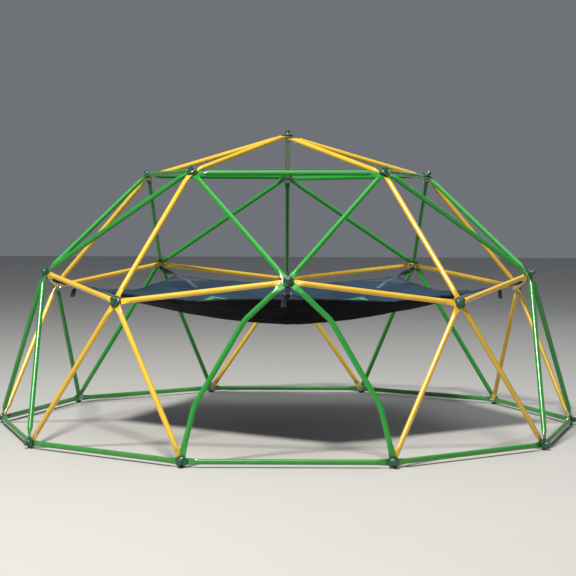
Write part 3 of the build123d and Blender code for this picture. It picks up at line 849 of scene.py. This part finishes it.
def tape_stitches():
    rows = []
    for edge in (-1, 1):
        reach = TAPE_REACH * CUT_SCALE + edge * (TAPE_WIDTH / 2 - 0.004) / math.cos(SECTOR_TURN / 2)
        corners = [at_azimuth(reach, s)[:2] for s in range(SECTORS + 1)]
        for first, second in zip(corners, corners[1:]):
            rows += seam(first, second, 0.0023)
    return stitches("tape_stitches", rows, green_thread)


def corner_stitches():
    rows = []
    for sector in range(SECTORS):
        for side in (-1, 1):
            edge = side * (STRIP_WIDTH / 2 - 0.004)
            rows += seam(corner_axis_point(sector, PATCH_REACH + 0.002, edge),
                         corner_axis_point(sector, STRIP_LENGTH - 0.004, edge), 0.0023)
            rows += seam(corner_axis_point(sector, 0.020, edge),
                         corner_axis_point(sector, PATCH_REACH - 0.006, edge), 0.0034)
        width = CUT_TIP_HALF_WIDTH + PATCH_REACH * PATCH_FLARE - 0.034
        spread = np.linspace(-1, 1, 13)
        arc = [corner_axis_point(sector, PATCH_REACH - 0.005 - PATCH_CURVE * (1 - s * s), s * width)
               for s in spread]
        for first, second in zip(arc, arc[1:]):
            off_middle = min(abs(first @ tip_side(sector)), abs(second @ tip_side(sector)))
            for lift in (0.0022, -0.0022):
                if lift < 0 or off_middle > STRIP_WIDTH / 2:
                    rows += seam(first, second, lift)
    return stitches("corner_stitches", rows, navy_thread)


# ------------------------------------------------------------------ straps

def in_plane(point, across=0.0):
    """A point of a strap's plane, (out from the dome's axis, up), in the door's sector."""
    return np.array([across, -point[0], point[1]])


def rounded(route, radius):
    """Points along a route of straight runs, with its corners rounded to a radius, all in a strap's plane."""
    route = [np.asarray(p, float) for p in route]
    path = [route[0]]
    for before, corner, after in zip(route, route[1:], route[2:]):
        a, b = unit(before - corner), unit(after - corner)
        turn = math.pi - math.acos(float(np.clip(a @ b, -1, 1)))
        reach = radius * math.tan(turn / 2)
        reach = min(reach, 0.499 * np.linalg.norm(before - corner), 0.499 * np.linalg.norm(after - corner))
        bend = reach / math.tan(turn / 2)
        start, middle = corner + a * reach, unit(a + b)
        centre = corner + middle * (bend / math.cos(turn / 2))
        first = start - centre
        sign = math.copysign(1.0, first[0] * -a[1] - first[1] * -a[0])
        for share in np.linspace(0, 1, max(int(turn / 0.28), 2) + 1):
            angle = sign * turn * share
            c, s = math.cos(angle), math.sin(angle)
            path.append(centre + np.array([c * first[0] - s * first[1], s * first[0] + c * first[1]]))
    path.append(route[-1])
    dense = [path[0]]
    for point in path[1:]:
        gap = np.linalg.norm(point - dense[-1])
        if gap < 1e-6:
            continue
        for _ in range(int(gap / ROW_SPACING)):
            rest = point - dense[-1]
            dense.append(dense[-1] + rest * min(1.0, ROW_SPACING / np.linalg.norm(rest)))
        if np.linalg.norm(point - dense[-1]) > 1e-6:
            dense.append(point)
    return np.array(dense)


def webbing(name, path, sector, twist=None, reshape=None):
    """Webbing swept along a path in a strap's plane; its selvedges are rounded and a little thicker.

    twist turns each row about the path, in radians; reshape moves the finished points.
    """
    path = np.asarray(path, float)
    along = unit(np.gradient(path, axis=0))
    half, thick = WEBBING_WIDTH / 2, WEBBING_THICKNESS / 2
    profile = [(-1.0, 0.0), (-0.975, 0.75), (-0.93, 1.0), (-0.80, 0.92), (-0.40, 0.90), (0.0, 0.90),
               (0.40, 0.90), (0.80, 0.92), (0.93, 1.0), (0.975, 0.75), (1.0, 0.0)]
    profile += [(x, -t) for x, t in reversed(profile[1:-1])]
    lengths = np.concatenate([[0], np.cumsum(np.linalg.norm(np.diff(path, axis=0), axis=1))])
    points, uvs = [], []
    twist = np.zeros(len(path)) if twist is None else twist
    for row, (place, direction) in enumerate(zip(path, along)):
        normal = np.array([-direction[1], direction[0]])
        c, s = math.cos(twist[row]), math.sin(twist[row])
        for x, t in profile:
            across = x * half * c - t * thick * s
            rise = x * half * s + t * thick * c
            points.append(in_plane(place + normal * rise, across))
            uvs.append((x * half, lengths[row]))
    columns = len(profile)
    faces = grid_faces(len(path), columns, wrap_columns=True)
    faces.append(tuple(range(columns)))
    faces.append(tuple(reversed(range((len(path) - 1) * columns, len(path) * columns))))
    points = np.array(points) if reshape is None else reshape(np.array(points))
    return new_piece(name, turned(points, sector), faces, uvs, [FINISHES["black_webbing"]])


def end_stitches(name, place, sector, reshape):
    """Two rows of thread dashes across the folded end of a tail, on both faces."""
    rows = []
    for face in (-1, 1):
        normal = np.array([0.0, -face, 0.0])
        lift = STITCH_LIFT + (FOLD_OFFSET if face > 0 else 0.0)
        for drop in (-0.0022, 0.0022):
            for x in np.linspace(-0.0100, 0.0100, 6):
                dash = in_plane(place + [face * lift, drop], x)
                corners = reshape(np.array([dash, dash + [0.0001, 0.0, 0.0], dash + normal * 0.0001]))
                corners = turned(corners, sector)
                rows.append((corners[0], unit(corners[1] - corners[0]), unit(corners[2] - corners[0])))
    return stitches(name, rows, grey_thread, 0.0030, 0.0007)


def from_buckle(forward, lift):
    """A point of a strap's plane, by its distances from the buckle's middle bar along and above the strap."""
    return BUCKLE + STRAP_ALONG * forward + STRAP_UP * lift


def hanging_route(pivot):
    """From a hub's bolt, over the buckle's outer bar, round its middle bar and down to the tail."""
    leaving = from_buckle(BUCKLE_BAR_SPACING + 0.0040, -BAR_WRAP)
    return [STRAP_LAYER - HUB_DOWN * STRAP_RISE, HUB_TURN, from_buckle(BUCKLE_BAR_SPACING + 0.030, BAR_WRAP),
            from_buckle(-BAR_WRAP, BAR_WRAP), from_buckle(-BAR_WRAP, -BAR_WRAP), leaving,
            np.array([leaving[0], pivot[1]])]


def strap_twist(path):
    """Turn of the strap about its path: flat at the hub and at the buckle, and on edge between them."""
    to_hub = np.linalg.norm(path - HUB_TURN, axis=1)
    to_buckle = np.linalg.norm(path - OUTER_BAR, axis=1)
    span = np.linalg.norm(HUB_TURN - OUTER_BAR)
    between = (to_hub < span) & (to_buckle < span) & (path[:, 0] < HUB_TURN[0])
    turning = smoothstep(*TWIST_FROM_HUB, to_hub) * smoothstep(*TWIST_FROM_BUCKLE, to_buckle)
    return between * STRAP_TWIST * turning


def tail_route(pivot):
    """Free end of the webbing: hangs from the buckle, with its end folded back and sewn."""
    hem_top = TAIL_LENGTH - TAIL_HEM
    spots = [(0.0, 0.0008), (0.0012, 0.014), (-0.0006, 0.032), (0.0, TAIL_LENGTH), (FOLD_OFFSET, TAIL_LENGTH),
             (FOLD_OFFSET, hem_top)]
    return [pivot + np.array([out, -depth]) for out, depth in spots]


def tail_pose(pivot, twist, across, out):
    """Function that turns a tail's points about its upright line and leans them, more so lower down."""
    def reshape(points):
        depth = (pivot[1] - points[:, 2]) / TAIL_LENGTH
        angle = math.radians(twist) * smoothstep(0.02, 0.42, depth)
        lean = smoothstep(-0.05, 0.62, depth)
        x, u = points[:, 0], -points[:, 1] - pivot[0]
        turned_x = x * np.cos(angle) - u * np.sin(angle) + across * lean
        turned_u = x * np.sin(angle) + u * np.cos(angle) + out * depth
        return np.column_stack([turned_x, -(pivot[0] + turned_u), points[:, 2]])
    return reshape


def make_straps(sector, pivot):
    """Hanging strap and loose tail of one corner, and the seam across the tail's folded end."""
    route = rounded(hanging_route(pivot), 0.0031)
    turns = strap_twist(route) * STRAP_TURNS[sector]
    hanging = webbing(f"hanging_strap_{sector}", route, sector, twist=turns)
    reshape = tail_pose(pivot, *TAIL_POSES[sector])
    tail = webbing(f"strap_tail_piece_{sector}", rounded(tail_route(pivot), 0.001), sector, reshape=reshape)
    seam_place = pivot - [0.0, TAIL_LENGTH - TAIL_HEM / 2]
    sewing = end_stitches(f"strap_tail_stitches_{sector}", seam_place, sector, reshape)
    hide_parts("hanging_straps")
    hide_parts(f"strap_tail_{sector}")
    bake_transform(hanging)
    for piece in (tail, sewing):
        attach(piece, f"strap_tail_{sector}")


paint_cad_nodes()

sheet_pieces = []
for sector in range(SECTORS):
    hem, patch, strip = make_hem(sector), make_corner_patch(sector), make_corner_strip(sector)
    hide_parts("hammock_hem")
    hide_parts("hammock_corner_patches")
    sheet_pieces += [hem, patch, strip]
tape_ring = make_tape_ring()
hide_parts("hammock_tape")
sheet_pieces.append(tape_ring)
for sewing, slot_name in ((hem_stitches(), "hem_fabric"), (tape_stitches(), "green_tape"),
                          (corner_stitches(), "patch_fabric")):
    sheet_pieces.append(sewing)
for piece in (hammock_cloth, *sheet_pieces):
    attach(piece, "hammock")
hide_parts("hammock_sheet")

tail_pivots = {j["name"]: j["pos_m"] for j in frame["joints"] if j["name"].startswith("tail_swing")}
door_pivot = tail_pivots["tail_swing_0"]
for sector in range(SECTORS):
    make_straps(sector, np.array([-door_pivot[1], door_pivot[2]]))


# ------------------------------------------------------------------ floor, light and camera

def make_floor():
    """Wide pale floor with a slight unevenness in tone."""
    f = Finish("pale_floor", (0.50, 0.495, 0.48), 0.7)
    f.tint(f.remap(f.noise(0.7, 4.0), 0.4, 0.7, 0.0, 0.2), (0.45, 0.445, 0.43))
    f.bump(f.noise(60.0, 3.0), 0.001, 0.2)
    size = 60.0
    steps = 24
    grid = np.linspace(-size / 2, size / 2, steps)
    points = [(x, y, 0.0) for y in grid for x in grid]
    floor = new_piece("floor", points, grid_faces(steps, steps)[::-1], None, [f.material])
    floor.data.flip_normals()


def make_light(name, place, target, size, power, colour=(1.0, 1.0, 1.0)):
    data = bpy.data.lights.new(name, "AREA")
    data.shape = "DISK"
    data.size = size
    data.energy = power
    data.color = colour
    light = bpy.data.objects.new(name, data)
    light.location = place
    light.rotation_euler = (Vector(target) - Vector(place)).to_track_quat("-Z", "Y").to_euler()
    bpy.context.scene.collection.objects.link(light)


def make_world():
    world = bpy.data.worlds.new("studio")
    world.use_nodes = True
    background = world.node_tree.nodes["Background"]
    background.inputs["Color"].default_value = (0.80, 0.86, 0.95, 1.0)
    background.inputs["Strength"].default_value = 0.20
    bpy.context.scene.world = world


def make_camera():
    data = bpy.data.cameras.new("camera")
    data.lens = CAMERA_LENS
    data.sensor_width = CAMERA_SENSOR
    camera = bpy.data.objects.new("camera", data)
    turn = (Matrix.Rotation(math.radians(CAMERA_YAW), 4, "Z")
            @ Matrix.Rotation(math.radians(90 - CAMERA_PITCH_DOWN), 4, "X")
            @ Matrix.Rotation(math.radians(CAMERA_ROLL), 4, "Z"))
    camera.matrix_world = Matrix.Translation(CAMERA_PLACE) @ turn
    bpy.context.scene.collection.objects.link(camera)
    bpy.context.scene.camera = camera


make_floor()
make_world()
make_light("key", (-2.6, -5.2, 8.6), (0.0, 0.0, 0.6), 1.4, 1300.0, (1.0, 0.965, 0.90))
make_light("overhead", (0.5, 0.5, 7.5), (0.0, 0.0, 0.5), 5.0, 130.0)
make_light("rear_fill", (4.0, 7.0, 5.0), (0.0, 0.0, 0.7), 4.0, 40.0, (0.9, 0.95, 1.0))
make_camera()
bpy.context.scene.view_settings.view_transform = "Standard"
